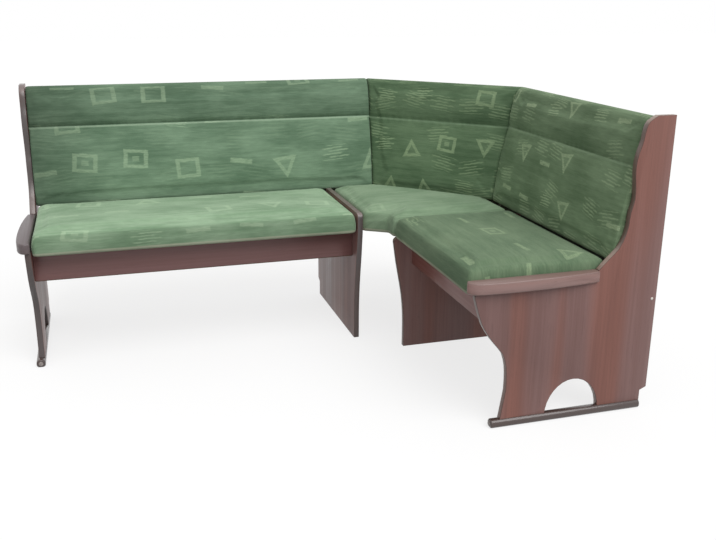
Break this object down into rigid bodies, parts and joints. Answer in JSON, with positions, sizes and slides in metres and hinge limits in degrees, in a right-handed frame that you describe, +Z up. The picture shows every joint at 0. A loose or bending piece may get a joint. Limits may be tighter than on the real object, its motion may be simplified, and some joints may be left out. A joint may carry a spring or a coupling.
{
  "type": "corner storage bench",
  "caption": "Upholstered dining corner bench with hinged storage seats, a fixed corner seat, leaning backs and shaped end panels with arm caps.",
  "frame": {"origin": "on the floor, below the middle of the bounding box", "axes": "+X along the long bench towards the room corner, +Y towards the wall behind the long bench, +Z up"},
  "size_m": [1.737, 1.296, 0.85],
  "materials": {
    "laminate": "reddish brown wood-grain laminate, satin",
    "plywood": "raw plywood, matt",
    "hardboard": "raw hardboard, matt",
    "long_fabric": "patterned green velour",
    "short_fabric": "patterned green velour",
    "corner_fabric": "patterned green velour",
    "steel": "zinc-plated steel",
    "plastic": "pale plastic"
  },
  "bodies": {
    "frame": {"long_end_panel": "laminate", "long_arm_cap": "laminate", "long_foot_runner": "laminate", "long_runner_plug": "plastic", "long_screw_cap": "plastic", "long_inner_panel": "laminate", "long_front_apron": "laminate", "long_rear_rail": "laminate", "long_hinge_rail": "laminate", "long_box_floor": "hardboard", "long_back_board": "plywood", "long_back_cleat": "plywood", "long_back_cushion": "long_fabric", "long_hinge_1_rail_leaf": "steel", "long_hinge_1_pin": "steel", "long_hinge_2_rail_leaf": "steel", "long_hinge_2_pin": "steel", "long_hinge_3_rail_leaf": "steel", "long_hinge_3_pin": "steel", "short_end_panel": "laminate", "short_arm_cap": "laminate", "short_foot_runner": "laminate", "short_runner_plug": "plastic", "short_screw_cap": "plastic", "short_inner_panel": "laminate", "short_front_apron": "laminate", "short_rear_rail": "laminate", "short_hinge_rail": "laminate", "short_box_floor": "hardboard", "short_back_board": "plywood", "short_back_cleat": "plywood", "short_back_cushion": "short_fabric", "short_hinge_1_rail_leaf": "steel", "short_hinge_1_pin": "steel", "short_hinge_2_rail_leaf": "steel", "short_hinge_2_pin": "steel", "corner_seat_board": "plywood", "corner_seat_cushion": "corner_fabric", "corner_long_ledger": "plywood", "corner_short_ledger": "plywood", "corner_back_board": "plywood", "corner_back_cushion": "corner_fabric", "corner_long_gusset": "laminate", "corner_short_gusset": "laminate", "corner_rail_angle": "steel"},
    "long_lid": {"long_seat_board": "plywood", "long_seat_cushion": "long_fabric", "long_hinge_1_lid_leaf": "steel", "long_hinge_2_lid_leaf": "steel", "long_hinge_3_lid_leaf": "steel"},
    "short_lid": {"short_seat_board": "plywood", "short_seat_cushion": "short_fabric", "short_hinge_1_lid_leaf": "steel", "short_hinge_2_lid_leaf": "steel"}
  },
  "joints": [
    {"name": "long_lid_hinge", "type": "hinge", "parent": "frame", "child": "long_lid", "pos_m": [-0.3125, 0.42, 0.3842], "axis": [-1, 0, 0], "range_deg": [0, 85]},
    {"name": "short_lid_hinge", "type": "hinge", "parent": "frame", "child": "short_lid", "pos_m": [0.6405, -0.303, 0.3842], "axis": [0, 1, 0], "range_deg": [0, 85]}
  ]
}
